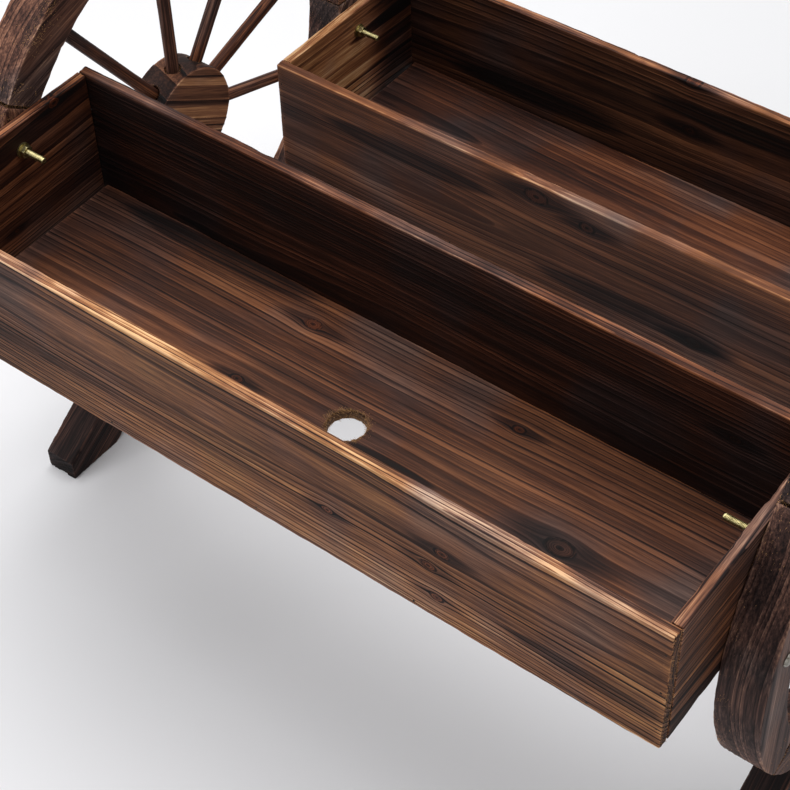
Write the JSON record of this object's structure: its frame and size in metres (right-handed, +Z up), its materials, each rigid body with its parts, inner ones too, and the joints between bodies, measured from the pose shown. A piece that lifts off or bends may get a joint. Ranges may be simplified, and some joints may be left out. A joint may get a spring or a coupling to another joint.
{
  "type": "flower cart stand",
  "caption": "Plant stand like a flower cart: plank troughs, one high in front and one low behind, between spoked wooden wheels on slanting feet.",
  "frame": {"origin": "on the floor, right under the hubs and midway between the wheels", "axes": "+X along the troughs towards the right wheel, +Y to the back where the low trough is, +Z up"},
  "size_m": [0.8068, 0.6764, 0.571],
  "materials": {
    "charred_plank_wood": "charred and brushed fir planks",
    "charred_rim_wood": "charred fir, band-sawn and sanded",
    "charred_hub_wood": "charred and turned fir",
    "charred_spoke_wood": "charred dowel",
    "charred_leg_wood": "charred sawn fir",
    "plain_dowel": "plain beech dowel, hidden in the joints",
    "yellow_zinc_steel": "yellow zinc plated",
    "bright_steel": "bright brads"
  },
  "bodies": {
    "root": {"bolt_nuts": "yellow_zinc_steel", "bolt_washers": "yellow_zinc_steel", "front_trough_back_board": "charred_plank_wood", "front_trough_bottom": "charred_plank_wood", "front_trough_front_board": "charred_plank_wood", "front_trough_left_end": "charred_plank_wood", "front_trough_right_end": "charred_plank_wood", "left_felloe_1": "charred_rim_wood", "left_felloe_2": "charred_rim_wood", "left_felloe_3": "charred_rim_wood", "left_felloe_4": "charred_rim_wood", "left_felloe_5": "charred_rim_wood", "left_front_leg": "charred_leg_wood", "left_hub": "charred_hub_wood", "left_rear_leg": "charred_leg_wood", "left_spoke_01": "charred_spoke_wood", "left_spoke_02": "charred_spoke_wood", "left_spoke_03": "charred_spoke_wood", "left_spoke_04": "charred_spoke_wood", "left_spoke_05": "charred_spoke_wood", "left_spoke_06": "charred_spoke_wood", "left_spoke_07": "charred_spoke_wood", "left_spoke_08": "charred_spoke_wood", "left_spoke_09": "charred_spoke_wood", "left_spoke_10": "charred_spoke_wood", "leg_screws": "yellow_zinc_steel", "rear_trough_back_board": "charred_plank_wood", "rear_trough_bottom": "charred_plank_wood", "rear_trough_front_board": "charred_plank_wood", "rear_trough_left_end": "charred_plank_wood", "rear_trough_right_end": "charred_plank_wood", "right_felloe_1": "charred_rim_wood", "right_felloe_2": "charred_rim_wood", "right_felloe_3": "charred_rim_wood", "right_felloe_4": "charred_rim_wood", "right_felloe_5": "charred_rim_wood", "right_front_leg": "charred_leg_wood", "right_hub": "charred_hub_wood", "right_rear_leg": "charred_leg_wood", "right_spoke_01": "charred_spoke_wood", "right_spoke_02": "charred_spoke_wood", "right_spoke_03": "charred_spoke_wood", "right_spoke_04": "charred_spoke_wood", "right_spoke_05": "charred_spoke_wood", "right_spoke_06": "charred_spoke_wood", "right_spoke_07": "charred_spoke_wood", "right_spoke_08": "charred_spoke_wood", "right_spoke_09": "charred_spoke_wood", "right_spoke_10": "charred_spoke_wood", "rim_dowels": "plain_dowel", "rim_screws": "yellow_zinc_steel", "trough_bolts": "yellow_zinc_steel", "trough_brads": "bright_steel"}
  },
  "joints": []
}
